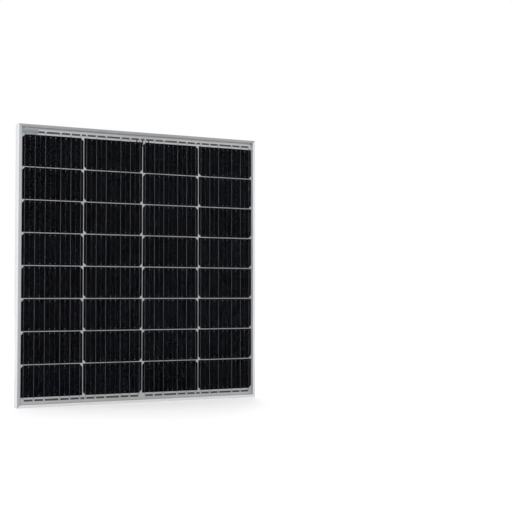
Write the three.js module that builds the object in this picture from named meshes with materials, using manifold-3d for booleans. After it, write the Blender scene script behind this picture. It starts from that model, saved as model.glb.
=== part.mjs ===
// Framed glass solar panel with a rear junction box and two leads.
// Millimetres. X is the width, +Y points out of the back, +Z is up, and the origin is
// the middle of the bottom bar's outer face.
import * as THREE from 'three';
import { mergeVertices } from 'three/addons/utils/BufferGeometryUtils.js';
import Module from 'manifold-3d';

const wasm = await Module();
wasm.setup();

// Cells
const columns = 4;
const rows = 8;
const cellWidth = 166;
const cellHeight = 83;
const cellGap = 2;
const cellChamfer = 8;
const cellThickness = 0.25;

// Margins from the outside of the frame to the nearest cell
const sideMargin = 10;
const topMargin = 26;
const bottomMargin = 26;

// Frame section
const frameDepth = 30;
const outerWall = 1.6;
const lipThickness = 1.5;
const lipWidth = 7.5;
const shelfThickness = 1.5;
const innerWall = 1.5;
const flangeThickness = 1.5;
const barWidth = 19;
const mitreGap = 0.15;

// Mounting holes, their access windows and the corner notches
const holeDiameter = 7;
const holeInset = 12;
const holeFromEnd = 137;
const windowHeight = 19;
const windowDepth = 12;
const notchStart = 5;
const notchSize = 8;

// Corner keys
const keyClearance = 0.3;
const keyLeg = 38;
const keyDepth = 12;

// Laminate, front to back
const sealThickness = 0.5;
const sealEdge = 1;
const sealClearance = 0.1;
const sealSetback = 0.5;
const glassThickness = 3.2;
const encapsulantThickness = 0.4;
const cellLayer = 1.2;
const backsheetThickness = 0.3;
const ribbonWidth = 1;
const ribbonThickness = 0.4;
const busbarCount = 12;
const ribbonBusbars = [0, 2, 4, 7, 9, 11];

// Bus ribbons
const busHeight = 5;
const busGap = 5;
const busThickness = 0.25;
const busEndInset = 5;
const tabWidth = 4;
const stripWidth = 43;
const stripHeight = 11;
const stripThickness = 0.08;
const layerClearance = 0.1;
const ribbonClearance = 0.05;

// Junction box
const boxWidth = 58;
const boxHeight = 65;
const boxDepth = 20;
const boxTopGap = 0.5;
const boxChamfer = 8;
const boxTopChamfer = 3;
const boxWall = 2;
const boxBaseDepth = 12.5;
const gasketThickness = 0.8;
const gasketWidth = 1.2;
const adhesiveThickness = 1;
const adhesiveInset = 2;
const clipLength = 13;
const clipReach = 6.6;
const clipArm = 3.4;
const clipClearance = 0.3;
const clipOffsets = [17, 46];
const lugDepth = 3;
const floorSlotClearance = 0.5;

// Terminals and diodes
const terminalPitch = 17;
const terminalWidth = 9;
const terminalHeight = 12;
const terminalDepth = 3;
const terminalDrop = 24;
const diodeDiameter = 4.6;
const diodeLength = 5.4;

// Leads, glands and cable ties
const leadDiameter = 5;
const leadClearance = 0.4;
const leadEndInside = 9;
const leadSides = 8;
const leadSpacing = 0.8;
const glandOffset = 11.5;
const glandDiameter = 13;
const glandProtrusion = 13;
const spigotDiameter = 10;
const spigotLength = 7;
const glandThreadClearance = 0.4;
const glandEndWall = 3;
const glandGap = 0.5;
const ribWidth = 5;
const ribDepth = 8;
const ribLength = 11;
const nutChamfer = 1.5;
const sealGap = 0.3;
const tieWidth = 2.6;
const tieThickness = 0.9;
const tieClearance = 0.5;
const tieSideRoom = 0.9;
const tailLength = 56;
const tieHead = 4.6;
const tieHeadOverlap = 0.4;
const tailThickness = 1.2;
const tieStandoff = 0.3;
const sideTieStandoff = 0.2;
const sleeveClearance = 0.3;
const sleeveWall = 1.1;
const sleeveSideRoom = 0.1;
const markerWall = 0.5;

// Connectors
const connectorNutLength = 22;
const connectorNutRadius = 8.25;
const connectorSpigotRadius = 6;
const connectorBodyRadius = 7.1;
const femaleLength = 54;
const maleBodyLength = 15;
const maleBarrelRadius = 3.1;
const maleLength = 55;
const contactRadius = 1.6;
const contactClearance = 0.4;
const contactStart = 26;
const contactCollarEnd = 29;
const contactTip = 1;
const sealRingLength = 2.9;
const sealRingWall = 1.6;
const contactSetback = 2;
const threadClearance = 0.5;
const housingStart = 11.5;
const boreStep = 30;
const nutMouthRadius = 4.2;
const nutShoulderRadius = 6.3;
const nutTaperStart = 5;
const nutTaperEnd = 8.5;
const nutEndBevel = 0.6;
const socketRadius = 4.9;
const socketFlange = 0.7;
const socketFlangeLength = 4;
const windowStart = 38;
const windowEnd = 44;
const windowHalf = 2.8;
const femaleContactEnd = 47;
const latchWidth = 5;
const latchInner = 5.2;
const latchThickness = 1.5;
const latchHook = 1.2;
const latchReach = 12;
const latchRoot = 4;
const latchHookLength = 3.5;

// Labels
const labelWidth = 71;
const labelHeight = 108;
const labelThickness = 0.2;
const labelGap = 1;
const labelLeft = 45;
const labelDrop = 148.5;
const stickerWidth = 45;
const stickerHeight = 11;
const stickerLeft = 28;

// Sizes that follow
const gridWidth = columns * cellWidth + (columns - 1) * cellGap;
const gridHeight = rows * cellHeight + (rows - 1) * cellGap;
const panelWidth = gridWidth + 2 * sideMargin;
const panelHeight = gridHeight + topMargin + bottomMargin;
const halfWidth = panelWidth / 2;
const frontY = -frameDepth / 2;
const backY = frameDepth / 2;
const gridLeft = -gridWidth / 2;
const gridTop = panelHeight - topMargin;
const lipBackY = frontY + lipThickness;
const glassFrontY = lipBackY + sealThickness;
const glassBackY = glassFrontY + glassThickness;
const cellLayerFrontY = glassBackY + encapsulantThickness;
const cellLayerBackY = cellLayerFrontY + cellLayer;
const rearEncapsulantBackY = cellLayerBackY + encapsulantThickness;
const backsheetY = rearEncapsulantBackY + backsheetThickness;
const shelfFrontY = backsheetY + sealThickness;
const shelfBackY = shelfFrontY + shelfThickness;
const laminateInset = outerWall + sealClearance + sealEdge;
const cellPitchX = cellWidth + cellGap;
const cellPitchZ = cellHeight + cellGap;
const ribbonFrontY = cellLayerFrontY + layerClearance;
const busFrontY = ribbonFrontY + ribbonThickness + ribbonClearance;
const cellFrontY = ribbonFrontY + (ribbonThickness - cellThickness) / 2;
const leadOutFrontY = cellLayerBackY - layerClearance - busThickness;
const boxTop = panelHeight - barWidth - boxTopGap;
const boxBottom = boxTop - boxHeight;
const boxFrontY = backsheetY + adhesiveThickness;
const boxFloorY = boxFrontY + boxWall;
const boxRimY = boxFrontY + boxBaseDepth;
const lidFrontY = boxRimY + gasketThickness;
const lidBackY = boxFrontY + boxDepth;
const exitZ = boxBottom - glandProtrusion;
const leadRadius = leadDiameter / 2;
const boreRadius = leadRadius + leadClearance;
const glandAxisY = backsheetY + 7.8;

const silver = [0xb9bcbf, 0.38, 0.85];
const blackPlastic = [0x151618, 0.5, 0];
const greyPlastic = [0x4a4c50, 0.5, 0];
const copper = [0xc9c2b4, 0.35, 0.9];
const clearSheet = [0xe9eef0, 0.3, 0];

const panel = new THREE.Group();

// --- solids -------------------------------------------------------------------------

function toSolid(source) {
  const geometry = source.clone();
  geometry.deleteAttribute('normal');
  geometry.deleteAttribute('uv');
  const merged = mergeVertices(geometry, 1e-5);
  const vertProperties = new Float32Array(merged.attributes.position.array);
  const triVerts = new Uint32Array(merged.index.array);
  if (signedVolume(vertProperties, triVerts) < 0) {
    for (let i = 0; i < triVerts.length; i += 3) {
      [triVerts[i + 1], triVerts[i + 2]] = [triVerts[i + 2], triVerts[i + 1]];
    }
  }
  return new wasm.Manifold(new wasm.Mesh({ numProp: 3, vertProperties, triVerts }));
}

function signedVolume(points, triangles) {
  const a = new THREE.Vector3();
  const b = new THREE.Vector3();
  const c = new THREE.Vector3();
  let sum = 0;
  for (let i = 0; i < triangles.length; i += 3) {
    a.fromArray(points, triangles[i] * 3);
    b.fromArray(points, triangles[i + 1] * 3);
    c.fromArray(points, triangles[i + 2] * 3);
    sum += a.dot(b.cross(c));
  }
  return sum;
}

function toGeometry(solid) {
  const mesh = solid.getMesh();
  const geometry = new THREE.BufferGeometry();
  geometry.setAttribute('position', new THREE.BufferAttribute(mesh.vertProperties, 3));
  geometry.setIndex(new THREE.BufferAttribute(mesh.triVerts, 1));
  return geometry;
}

function addNode(name, solid, look, place) {
  const [color, roughness, metalness] = look;
  const material = new THREE.MeshStandardMaterial({ color, roughness, metalness });
  const mesh = new THREE.Mesh(toGeometry(solid), material);
  mesh.name = name;
  (place ?? panel).add(mesh);
  return mesh;
}

function joinAll(solids) {
  return solids.reduce((whole, next) => whole.add(next));
}

// A flat plate with its outline in X and Z, between two Y planes.
function plate(outline, nearY, farY) {
  const geometry = new THREE.ExtrudeGeometry(outline, { depth: 1, bevelEnabled: false });
  const points = geometry.attributes.position;
  for (let i = 0; i < points.count; i += 1) {
    const y = points.getZ(i) > 0.5 ? nearY : farY;
    points.setXYZ(i, points.getX(i), y, points.getY(i));
  }
  return toSolid(geometry);
}

function polygon(points) {
  return new THREE.Shape(points.map(([x, z]) => new THREE.Vector2(x, z)));
}

function rectangle(left, bottom, right, top) {
  return polygon([[left, bottom], [right, bottom], [right, top], [left, top]]);
}

function block(left, right, nearY, farY, bottom, top) {
  return plate(rectangle(left, bottom, right, top), nearY, farY);
}

// A turned piece about the X axis, from its radii along the axis.
function turned(profile, sides) {
  const points = profile.map(([x, radius]) => new THREE.Vector2(radius, x));
  const geometry = new THREE.LatheGeometry([...points, points[0]], sides);
  geometry.rotateZ(-Math.PI / 2);
  return toSolid(geometry);
}

function alongZ(solid, x, y, z, up) {
  return solid.rotate([0, up ? -90 : 90, 0]).translate([x, y, z]);
}

// --- frame --------------------------------------------------------------------------

function frameSection() {
  const slotBack = shelfFrontY - frontY;
  const section = polygon([
    [0, 0], [lipWidth, 0], [lipWidth, lipThickness], [outerWall, lipThickness],
    [outerWall, slotBack], [barWidth, slotBack], [barWidth, frameDepth], [0, frameDepth],
  ]);
  const chamber = new THREE.Path([
    new THREE.Vector2(outerWall, slotBack + shelfThickness),
    new THREE.Vector2(outerWall, frameDepth - flangeThickness),
    new THREE.Vector2(barWidth - innerWall, frameDepth - flangeThickness),
    new THREE.Vector2(barWidth - innerWall, slotBack + shelfThickness),
  ]);
  section.holes.push(chamber);
  return section;
}

// A bar of the frame: its section swept from mitre to mitre, then put in its place.
function frameBar(halfLength, placePoint) {
  const settings = { depth: 1, bevelEnabled: false };
  const geometry = new THREE.ExtrudeGeometry(frameSection(), settings);
  const points = geometry.attributes.position;
  for (let i = 0; i < points.count; i += 1) {
    const inward = points.getX(i);
    const y = frontY + points.getY(i);
    const side = points.getZ(i) > 0.5 ? 1 : -1;
    const along = side * (halfLength - mitreGap - inward);
    points.setXYZ(i, ...placePoint(inward, along, y));
  }
  return toSolid(geometry);
}

function holeHeights() {
  return [holeFromEnd, panelHeight - holeFromEnd];
}

function sideBar(side) {
  const middle = panelHeight / 2;
  const placePoint = (inward, along, y) => [side * (halfWidth - inward), y, middle + along];
  let bar = frameBar(middle, placePoint);
  const holeX = side * (halfWidth - holeInset);
  for (const z of holeHeights()) {
    const hole = new THREE.CylinderGeometry(holeDiameter / 2, holeDiameter / 2, 4, 20);
    hole.translate(holeX, backY, z);
    bar = bar.subtract(toSolid(hole));
    const inner = side * (halfWidth - barWidth - 1);
    const outer = side * (halfWidth - barWidth + innerWall + 1);
    const windowY = (shelfBackY + backY - flangeThickness) / 2;
    bar = bar.subtract(block(
      Math.min(inner, outer), Math.max(inner, outer),
      windowY - windowDepth / 2, windowY + windowDepth / 2,
      z - windowHeight / 2, z + windowHeight / 2,
    ));
  }
  for (const top of [true, false]) {
    const edge = (inward, down) => [
      side * (halfWidth - inward), top ? panelHeight - down : down,
    ];
    const notchEnd = notchStart + notchSize;
    const past = mitreGap * 4;
    const notch = polygon([
      edge(notchStart, notchStart - past), edge(notchEnd, notchEnd - past),
      edge(notchStart, notchEnd),
    ]);
    bar = bar.subtract(plate(notch, backY - flangeThickness - 0.5, backY + 1));
  }
  return bar;
}

function buildFrame() {
  addNode('frame_top', frameBar(halfWidth, (inward, along, y) => (
    [along, y, panelHeight - inward])), silver);
  addNode('frame_bottom', frameBar(halfWidth, (inward, along, y) => (
    [along, y, inward])), silver);
  addNode('frame_left', sideBar(-1), silver);
  addNode('frame_right', sideBar(1), silver);
  for (const side of [-1, 1]) {
    for (const top of [true, false]) {
      buildCornerKey(side, top);
    }
  }
}

function buildCornerKey(side, top) {
  const near = outerWall + keyClearance;
  const far = barWidth - innerWall - keyClearance;
  const corner = (inward, down) => [
    side * (halfWidth - inward), top ? panelHeight - down : down,
  ];
  const outline = polygon([
    corner(near, near), corner(near + keyLeg, near), corner(near + keyLeg, far),
    corner(far, far), corner(far, near + keyLeg), corner(near, near + keyLeg),
  ]);
  const keyFrontY = shelfBackY + keyClearance;
  const name = `corner_key_${top ? 'top' : 'bottom'}_${side < 0 ? 'left' : 'right'}`;
  addNode(name, plate(outline, keyFrontY, keyFrontY + keyDepth), [0xa6a9ac, 0.5, 0.8]);
}

// --- laminate -----------------------------------------------------------------------

function sheetOutline(inset) {
  return rectangle(-halfWidth + inset, inset, halfWidth - inset, panelHeight - inset);
}

// The slots in the rear sheets that the three lead-out ribbons pass through.
function leadOutSlots(nearY, farY) {
  return joinAll([-1, 0, 1].map((index) => block(
    index * terminalPitch - tabWidth / 2 - floorSlotClearance,
    index * terminalPitch + tabWidth / 2 + floorSlotClearance,
    nearY - 1, farY + 1,
    leadOutZ() - busThickness / 2 - floorSlotClearance,
    leadOutZ() + busThickness / 2 + floorSlotClearance,
  )));
}

function leadOutZ() {
  return boxTop - terminalDrop + terminalHeight / 2 + 1.5;
}

function buildSheets() {
  const outline = sheetOutline(laminateInset);
  addNode('glass_pane', plate(outline, glassFrontY, glassBackY), [0xdfe9e6, 0.05, 0]);
  addNode('front_encapsulant', plate(outline, glassBackY, cellLayerFrontY), clearSheet);
  const rear = plate(outline, cellLayerBackY, rearEncapsulantBackY);
  addNode('rear_encapsulant',
    rear.subtract(leadOutSlots(cellLayerBackY, rearEncapsulantBackY)), clearSheet);
  const back = plate(outline, rearEncapsulantBackY, backsheetY);
  addNode('backsheet',
    back.subtract(leadOutSlots(rearEncapsulantBackY, backsheetY)), [0xf2f3f3, 0.6, 0]);
}

function buildEdgeSeal() {
  const outer = plate(sheetOutline(outerWall + sealClearance), lipBackY, shelfFrontY);
  const core = plate(sheetOutline(laminateInset), glassFrontY, backsheetY);
  const inside = plate(sheetOutline(lipWidth - sealSetback), lipBackY - 1, shelfFrontY + 1);
  addNode('edge_seal', outer.subtract(core).subtract(inside), [0x2a2b2d, 0.8, 0]);
}

// A half-cut cell: two of its corners are the chamfered corners of the full wafer.
function cellOutline(left, top, chamferTop) {
  const right = left + cellWidth;
  const bottom = top - cellHeight;
  const cut = cellChamfer;
  if (chamferTop) {
    return polygon([
      [left, bottom], [right, bottom], [right, top - cut], [right - cut, top],
      [left + cut, top], [left, top - cut],
    ]);
  }
  return polygon([
    [left, bottom + cut], [left + cut, bottom], [right - cut, bottom],
    [right, bottom + cut], [right, top], [left, top],
  ]);
}

function busbarX(left, index) {
  return left + cellWidth * (index + 0.5) / busbarCount;
}

function buildCellString(column) {
  const left = gridLeft + column * cellPitchX;
  const chamferTop = column % 2 === 0;
  const pieces = [];
  for (let row = 0; row < rows; row += 1) {
    const outline = cellOutline(left, gridTop - row * cellPitchZ, chamferTop);
    pieces.push(plate(outline, cellFrontY, cellFrontY + cellThickness));
  }
  for (const index of ribbonBusbars) {
    const x = busbarX(left, index);
    pieces.push(block(
      x - ribbonWidth / 2, x + ribbonWidth / 2, ribbonFrontY, ribbonFrontY + ribbonThickness,
      gridTop - gridHeight - busGap - busHeight, gridTop + busGap + busHeight,
    ));
  }
  addNode(`cell_string_${column + 1}`, joinAll(pieces), [0x07080d, 0.25, 0.1]);
}

function busBar(left, right, bottom) {
  return block(left, right, busFrontY, busFrontY + busThickness, bottom, bottom + busHeight);
}

// A ribbon that turns back behind the cells and through the sheets to its terminal.
function leadOut(x, fromX, busBottom) {
  const halfTab = tabWidth / 2;
  const run = block(
    Math.min(fromX, x - halfTab), Math.max(fromX, x + halfTab),
    leadOutFrontY, leadOutFrontY + busThickness, busBottom, busBottom + busHeight,
  );
  const drop = block(x - halfTab, x + halfTab, leadOutFrontY, leadOutFrontY + busThickness,
    leadOutZ() - busThickness / 2, busBottom + busHeight);
  const stub = block(x - halfTab, x + halfTab, leadOutFrontY, boxFloorY + 1.5,
    leadOutZ() - busThickness / 2, leadOutZ() + busThickness / 2);
  return joinAll([run, drop, stub]);
}

function buildBusRibbons() {
  const topZ = gridTop + busGap;
  const bottomZ = gridTop - gridHeight - busGap - busHeight;
  const tin = [0x8f9499, 0.35, 0.8];
  const fold = (x) => block(x, x + tabWidth, busFrontY, leadOutFrontY + busThickness,
    topZ, topZ + busHeight);
  const columnLeft = (column) => gridLeft + column * cellPitchX;
  const leftEnd = columnLeft(0) + stripWidth;
  const leftStop = columnLeft(0) + cellWidth - busEndInset;
  const leftX = -terminalPitch;
  addNode('top_bus_left', joinAll([
    busBar(leftEnd, leftStop, topZ), fold(leftStop - tabWidth), leadOut(leftX, leftStop, topZ),
  ]), tin);
  const rightStart = columnLeft(3) + busEndInset;
  addNode('top_bus_right', joinAll([
    busBar(rightStart, columnLeft(3) + cellWidth - busEndInset, topZ), fold(rightStart),
    leadOut(terminalPitch, rightStart, topZ),
  ]), tin);
  const middleLeft = columnLeft(1) + busEndInset;
  addNode('top_bus_middle', joinAll([
    busBar(middleLeft, columnLeft(2) + cellWidth - busEndInset, topZ),
    fold(-tabWidth / 2), leadOut(0, 0, topZ),
  ]), tin);
  for (const [name, column] of [['left', 0], ['right', 2]]) {
    addNode(`bottom_bus_${name}`, busBar(columnLeft(column) + busEndInset,
      columnLeft(column + 1) + cellWidth - busEndInset, bottomZ), tin);
  }
  const stripBottom = topZ - (stripHeight - busHeight) / 2;
  addNode('serial_strip', block(
    gridLeft + 1, gridLeft + stripWidth - 1, cellLayerFrontY, cellLayerFrontY + stripThickness,
    stripBottom, stripBottom + stripHeight,
  ), [0x8a949e, 0.6, 0]);
}

function buildLabels() {
  const top = exitZ - labelDrop;
  addNode('rating_label', block(labelLeft - labelWidth, labelLeft,
    backsheetY, backsheetY + labelThickness, top - labelHeight, top), [0xa0acb8, 0.5, 0]);
  addNode('small_sticker', block(stickerLeft - stickerWidth, stickerLeft,
    backsheetY, backsheetY + labelThickness,
    top + labelGap, top + labelGap + stickerHeight), [0xdfe2e4, 0.5, 0]);
}

// --- junction box -------------------------------------------------------------------

function boxOutline(inset) {
  const half = boxWidth / 2 - inset;
  const top = boxTop - inset;
  const bottom = boxBottom + inset;
  return polygon([
    [-half + boxChamfer, bottom], [half - boxChamfer, bottom], [half, bottom + boxChamfer],
    [half, top - boxTopChamfer], [half - boxTopChamfer, top], [-half + boxTopChamfer, top],
    [-half, top - boxTopChamfer], [-half, bottom + boxChamfer],
  ]);
}

function clipBlock(side, offset, inner, outer, nearY, farY) {
  const z = boxTop - offset;
  const xs = [side * inner, side * outer];
  return block(Math.min(...xs), Math.max(...xs), nearY, farY,
    z - clipLength / 2, z + clipLength / 2);
}

function eachClip(make) {
  return [-1, 1].flatMap((side) => clipOffsets.map((offset) => make(side, offset)));
}

function tubeProfile(start, end, inner, outer) {
  return [[start, inner], [start, outer], [end, outer], [end, inner]];
}

function buildBoxBase() {
  const half = boxWidth / 2;
  let base = plate(boxOutline(0), boxFrontY, boxRimY);
  base = base.subtract(plate(boxOutline(boxWall), boxFloorY, boxRimY + 1));
  for (const lug of eachClip((side, offset) => clipBlock(
    side, offset, half - 0.5, half + clipReach, boxFrontY, boxFrontY + lugDepth))) {
    base = base.add(lug);
  }
  base = base.add(block(-ribWidth / 2, ribWidth / 2, glandAxisY - ribDepth / 2,
    glandAxisY + ribDepth / 2, boxBottom - ribLength, boxBottom + 0.5));
  for (const side of [-1, 1]) {
    const x = side * glandOffset;
    const spigot = turned([[-0.5, 0], [-0.5, spigotDiameter / 2],
      [spigotLength, spigotDiameter / 2], [spigotLength, 0]], 16);
    base = base.add(alongZ(spigot, x, glandAxisY, boxBottom, false));
    const bore = turned([[-boxWall - 1, 0], [-boxWall - 1, boreRadius],
      [spigotLength + 1, boreRadius], [spigotLength + 1, 0]], 16);
    base = base.subtract(alongZ(bore, x, glandAxisY, boxBottom, false));
  }
  base = base.subtract(leadOutSlots(boxFrontY, boxFloorY));
  addNode('junction_box_base', base, blackPlastic);
  const pad = plate(boxOutline(adhesiveInset), backsheetY, boxFrontY);
  addNode('box_adhesive', pad.subtract(leadOutSlots(backsheetY, boxFrontY)),
    [0xd9dadb, 0.7, 0]);
}

function buildBoxLid() {
  const half = boxWidth / 2;
  const inset = (boxWall - gasketWidth) / 2;
  const ring = plate(boxOutline(inset), boxRimY, lidFrontY);
  addNode('junction_box_gasket',
    ring.subtract(plate(boxOutline(inset + gasketWidth), boxRimY - 1, lidFrontY + 1)),
    [0x303236, 0.9, 0]);
  let lid = plate(boxOutline(0), lidFrontY, lidBackY);
  lid = lid.subtract(plate(boxOutline(boxWall), lidFrontY - 1, lidBackY - boxWall));
  const armFront = boxFrontY + lugDepth + clipClearance;
  for (const [side, offset] of eachClip((s, o) => [s, o])) {
    lid = lid.add(clipBlock(side, offset, half - 0.5, half + clipArm, lidFrontY + 1, lidBackY - 2));
    lid = lid.add(clipBlock(side, offset, half + clipClearance, half + clipArm,
      armFront, lidFrontY + 2));
  }
  addNode('junction_box_lid', lid, blackPlastic);
}

function buildGlands() {
  for (const [name, side] of [['plus', 1], ['minus', -1]]) {
    const x = side * glandOffset;
    const outer = glandDiameter / 2;
    const thread = spigotDiameter / 2 + glandThreadClearance;
    const endWall = glandProtrusion - glandEndWall;
    const nut = turned([[glandGap, thread], [glandGap, outer], [glandProtrusion - nutChamfer, outer],
      [glandProtrusion, outer - nutChamfer], [glandProtrusion, boreRadius], [endWall, boreRadius],
      [endWall, thread]], 16);
    addNode(`gland_nut_${name}`, alongZ(nut, x, glandAxisY, boxBottom, false), greyPlastic);
    const seal = turned(tubeProfile(spigotLength + sealGap, endWall - sealGap,
      leadRadius + sealGap, thread - sealGap), 16);
    addNode(`gland_seal_${name}`, alongZ(seal, x, glandAxisY, boxBottom, false),
      [0x333333, 0.9, 0]);
  }
}

function buildTerminals() {
  const brass = [0xb9b3a4, 0.3, 0.9];
  const z = boxTop - terminalDrop;
  const seatY = boxFloorY;
  const names = ['minus', 'middle', 'plus'];
  names.forEach((name, index) => {
    const x = (index - 1) * terminalPitch;
    addNode(`terminal_${name}`, block(x - terminalWidth / 2, x + terminalWidth / 2,
      seatY, seatY + terminalDepth, z - terminalHeight / 2, z + terminalHeight / 2), brass);
  });
  for (const [name, side] of [['left', -1], ['right', 1]]) {
    const body = turned([[-diodeLength / 2, 0], [-diodeLength / 2, diodeDiameter / 2],
      [diodeLength / 2, diodeDiameter / 2], [diodeLength / 2, 0]], 12);
    const reach = terminalPitch / 2;
    const wire = turned([[-reach, 0], [-reach, 0.6], [reach, 0.6], [reach, 0]], 8);
    addNode(`bypass_diode_${name}`, body.add(wire).translate([
      side * terminalPitch / 2, seatY + terminalDepth + 0.9, z,
    ]), [0x1c1c1e, 0.4, 0.1]);
  }
}

// --- leads --------------------------------------------------------------------------

// Each point is X, the gap under the lead, and Z from the mouth of the gland.
const exitHeight = glandAxisY - backsheetY - leadRadius;
const leadPlusRoute = [
  [glandOffset, exitHeight, glandProtrusion + boxWall + leadEndInside],
  [glandOffset, exitHeight, 12], [glandOffset, exitHeight, 4],
  [glandOffset + 0.1, exitHeight, 0],
  [12.4, 4.9, -9], [14.0, 3.5, -20], [16.8, 1.9, -33], [20.6, 0.8, -46], [27.8, 0.5, -66],
  [35.0, 0.5, -89], [39.3, 0.5, -111], [41.4, 0.5, -131], [41.2, 1.0, -146],
  [38.8, 1.7, -160.4], [33.2, 1.6, -173.8], [21.8, 1.6, -189.8], [2.9, 1.6, -206.1],
  [-18.8, 1.6, -217.0], [-38.0, 1.9, -221.7], [-57.0, 1.9, -223.0], [-74.9, 1.9, -220.3],
  [-91.1, 1.6, -213.8], [-105.5, 1.3, -206.6], [-122.0, 1.7, -199.2], [-138.0, 3.5, -192.6],
  [-150.0, 5.7, -187.9], [-160.0, 6.7, -184.4], [-173.3, 6.9, -179.9],
];
const leadMinusRoute = [
  [-glandOffset, exitHeight, glandProtrusion + boxWall + leadEndInside],
  [-glandOffset, exitHeight, 12], [-glandOffset, exitHeight, 4],
  [-glandOffset - 0.1, exitHeight, 0],
  [-12.8, 4.9, -9], [-16.2, 3.5, -20], [-25.6, 1.7, -37], [-40.6, 0.5, -55.6],
  [-59.5, 0.5, -75.4], [-78.1, 0.5, -97.9], [-93.9, 0.5, -121.7], [-103.2, 0.5, -142.9],
  [-106.6, 0.5, -164.1], [-104.2, 0.5, -183.5], [-97.4, 1.1, -199.0], [-88.9, 1.6, -208.4],
  [-73.3, 1.9, -214.7], [-56.8, 1.9, -217.2], [-38.8, 1.9, -215.9], [-20.8, 1.8, -211.6],
  [-0.3, 2.5, -201.5], [17.6, 4.8, -186.2], [29.0, 6.9, -171.6], [37.3, 7.5, -160.8],
  [45.5, 7.3, -150.2],
];

function routePoint([x, gap, drop]) {
  return new THREE.Vector3(x, backsheetY + leadRadius + gap, exitZ + drop);
}

// Straight stretches into the connectors, along the last leg of each route.
function connectorPlace(route) {
  const end = routePoint(route.at(-1));
  const before = routePoint(route.at(-2));
  const direction = end.clone().sub(before).setY(0).normalize();
  return { end, direction };
}

function leadCurve(route) {
  const { end, direction } = connectorPlace(route);
  const points = route.map(routePoint);
  points.push(end.clone().addScaledVector(direction, connectorNutLength / 2));
  return new THREE.CatmullRomCurve3(points, false, 'centripetal');
}

function buildLead(name, route) {
  const curve = leadCurve(route);
  const section = new THREE.Shape();
  for (let i = 0; i < leadSides; i += 1) {
    const angle = (i / leadSides) * Math.PI * 2;
    const x = leadRadius * Math.cos(angle);
    const y = leadRadius * Math.sin(angle);
    if (i === 0) section.moveTo(x, y);
    else section.lineTo(x, y);
  }
  const steps = Math.round(curve.getLength() / (leadDiameter * 1.8));
  const geometry = new THREE.ExtrudeGeometry(section, { steps, extrudePath: curve });
  addNode(name, toSolid(geometry), [0x1b1c1e, 0.55, 0]);
}

// A group at a point, with its local X along a direction in the panel's plane.
function placeAlong(point, direction) {
  const group = new THREE.Group();
  group.position.copy(point);
  group.rotation.y = -Math.atan2(direction.z, direction.x);
  panel.add(group);
  return group;
}

// A cable tie: a band round both leads, its head, and its loose tail.
function buildTie(name, point, direction, stacked, tailAngle, headSide) {
  const reach = leadDiameter / 2 + tieClearance;
  const pair = leadDiameter + leadSpacing / 2 + tieClearance;
  const inner = stacked ? [pair, reach + tieSideRoom] : [reach, pair];
  const outer = inner.map((size) => size + tieThickness);
  const centre = point.clone();
  centre.y = backsheetY + (stacked ? tieStandoff : sideTieStandoff) + outer[0];
  const ring = ([deep, wide], half) => block(-half, half, -deep, deep, -wide, wide);
  const band = ring(outer, tieWidth / 2).subtract(ring(inner, tieWidth));
  const headZ = headSide * (outer[1] + tieHead / 2 - tieHeadOverlap);
  const head = block(-tieHead / 2, tieHead / 2, -tieHead / 2, tieHead / 2,
    headZ - tieHead / 2, headZ + tieHead / 2);
  const tail = block(-tieWidth / 2, tieWidth / 2, -tailThickness / 2, tailThickness / 2,
    0, tailLength)
    .rotate([0, headSide < 0 ? 180 + tailAngle : tailAngle, 0]).translate([0, 0, headZ]);
  addNode(name, joinAll([band, head, tail]), [0x3a3c40, 0.5, 0], placeAlong(centre, direction));
}

function pairTube(points, inner, wall) {
  const curve = new THREE.CatmullRomCurve3(points, false, 'centripetal');
  const ring = (grow) => {
    const deep = leadRadius + inner + grow;
    const wide = leadDiameter + inner + grow + leadSpacing / 2 + sleeveSideRoom;
    const cut = deep * 0.5;
    return [
      [-deep + cut, -wide], [deep - cut, -wide], [deep, -wide + cut], [deep, wide - cut],
      [deep - cut, wide], [-deep + cut, wide], [-deep, wide - cut], [-deep, -wide + cut],
    ];
  };
  const frames = curve.computeFrenetFrames(1, false);
  const turn = Math.abs(frames.normals[0].y) > 0.7;
  const place = ([deep, wide]) => (turn ? new THREE.Vector2(deep, wide)
    : new THREE.Vector2(wide, deep));
  const section = new THREE.Shape(ring(wall).map(place));
  section.holes.push(new THREE.Path(ring(0).map(place)));
  return toSolid(new THREE.ExtrudeGeometry(section, { steps: 8, extrudePath: curve }));
}

function middleOf(a, b) {
  return routePoint(a).add(routePoint(b)).multiplyScalar(0.5);
}

// The direction that the two leads share beside each other, in the panel's plane.
function sharedDirection(plus, i, minus, j) {
  const along = routePoint(plus[i + 1]).sub(routePoint(plus[i - 1])).setY(0).normalize();
  const beside = routePoint(minus[j - 1]).sub(routePoint(minus[j + 1])).setY(0).normalize();
  return along.add(beside).normalize();
}

function buildLeadDressing() {
  const plus = leadPlusRoute;
  const minus = leadMinusRoute;
  const sleevePoints = [[18, 18], [19, 17], [20, 16]].map(([i, j]) => middleOf(plus[i], minus[j]));
  const sleeveStart = sleevePoints[0].clone().lerp(sleevePoints[1], 0.12);
  const sleeveEnd = sleevePoints[1].clone().lerp(sleevePoints[2], 0.78);
  addNode('lead_sleeve', pairTube([sleeveStart, sleevePoints[1], sleeveEnd],
    sleeveClearance, sleeveWall), [0x101113, 0.7, 0]);
  const pastSleeve = middleOf(plus[21], minus[15]);
  const markerPoints = [0.06, 0.22, 0.38].map((share) => (
    sleevePoints[2].clone().lerp(pastSleeve, share)));
  addNode('marker_band', pairTube(markerPoints, sleeveClearance, markerWall),
    [0xe4e5e6, 0.5, 0]);
  buildTie('cable_tie_1', middleOf(plus[13], minus[23]), sharedDirection(plus, 13, minus, 23),
    true, 18, -1);
  buildTie('cable_tie_2', middleOf(plus[21], minus[15]), sharedDirection(plus, 21, minus, 15),
    false, 10, -1);
}

// --- connectors ---------------------------------------------------------------------

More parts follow.
